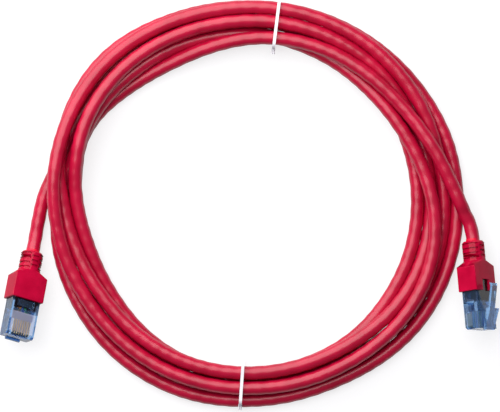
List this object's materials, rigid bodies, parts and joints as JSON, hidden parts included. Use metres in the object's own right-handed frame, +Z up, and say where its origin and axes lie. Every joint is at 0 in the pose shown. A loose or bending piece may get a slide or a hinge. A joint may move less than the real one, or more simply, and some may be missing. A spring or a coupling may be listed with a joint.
{
  "type": "ethernet patch cable",
  "caption": "Round booted network patch cable with modular plugs, wound into a flat ring of loose loops held by twist ties.",
  "frame": {"origin": "under the middle of the whole object, on the surface that the ring lies on", "axes": "+X from the left plug to the right plug, +Z up from the surface, -Y where the plugs point"},
  "size_m": [0.1971, 0.1622, 0.0189],
  "materials": {
    "jacket": "glossy red PVC with faint waves from the twisted pairs inside",
    "boot": "satin moulded red PVC",
    "clear_plastic": "clear polycarbonate",
    "contact": "gold plated phosphor bronze",
    "tie": "white plastic ribbon over a steel wire",
    "wire_white_green": "polyethylene insulation",
    "wire_green": "polyethylene insulation",
    "wire_white_orange": "polyethylene insulation",
    "wire_blue": "polyethylene insulation",
    "wire_white_blue": "polyethylene insulation",
    "wire_orange": "polyethylene insulation",
    "wire_white_brown": "polyethylene insulation",
    "wire_brown": "polyethylene insulation"
  },
  "bodies": {
    "cable": {"cable_coil": "jacket", "cable_tail_left": "jacket", "cable_tail_right": "jacket", "tie_top": "tie", "tie_bottom": "tie", "left_housing": "clear_plastic", "left_boot": "boot", "left_jacket_end": "jacket", "left_load_bar": "clear_plastic", "left_wedge": "clear_plastic", "left_wire_white_green": "wire_white_green", "left_wire_green": "wire_green", "left_wire_white_orange": "wire_white_orange", "left_wire_blue": "wire_blue", "left_wire_white_blue": "wire_white_blue", "left_wire_orange": "wire_orange", "left_wire_white_brown": "wire_white_brown", "left_wire_brown": "wire_brown", "left_contact_1": "contact", "left_contact_2": "contact", "left_contact_3": "contact", "left_contact_4": "contact", "left_contact_5": "contact", "left_contact_6": "contact", "left_contact_7": "contact", "left_contact_8": "contact", "right_housing": "clear_plastic", "right_boot": "boot", "right_jacket_end": "jacket", "right_load_bar": "clear_plastic", "right_wedge": "clear_plastic", "right_wire_white_green": "wire_white_green", "right_wire_green": "wire_green", "right_wire_white_orange": "wire_white_orange", "right_wire_blue": "wire_blue", "right_wire_white_blue": "wire_white_blue", "right_wire_orange": "wire_orange", "right_wire_white_brown": "wire_white_brown", "right_wire_brown": "wire_brown", "right_contact_1": "contact", "right_contact_2": "contact", "right_contact_3": "contact", "right_contact_4": "contact", "right_contact_5": "contact", "right_contact_6": "contact", "right_contact_7": "contact", "right_contact_8": "contact"},
    "left_latch": {"left_latch": "clear_plastic"},
    "right_latch": {"right_latch": "clear_plastic"}
  },
  "joints": [
    {"name": "left_latch_press", "type": "hinge", "parent": "cable", "child": "left_latch", "pos_m": [-0.09405, -0.05268, 0.01039], "axis": [0.8723, -0.2721, -0.4062], "range_deg": [0, 10.5], "stiffness_Nm_per_rad": 0.3},
    {"name": "right_latch_press", "type": "hinge", "parent": "cable", "child": "right_latch", "pos_m": [0.09449, -0.04826, 0.01398], "axis": [-0.6229, 0.0556, 0.7803], "range_deg": [0, 10.5], "stiffness_Nm_per_rad": 0.3}
  ]
}
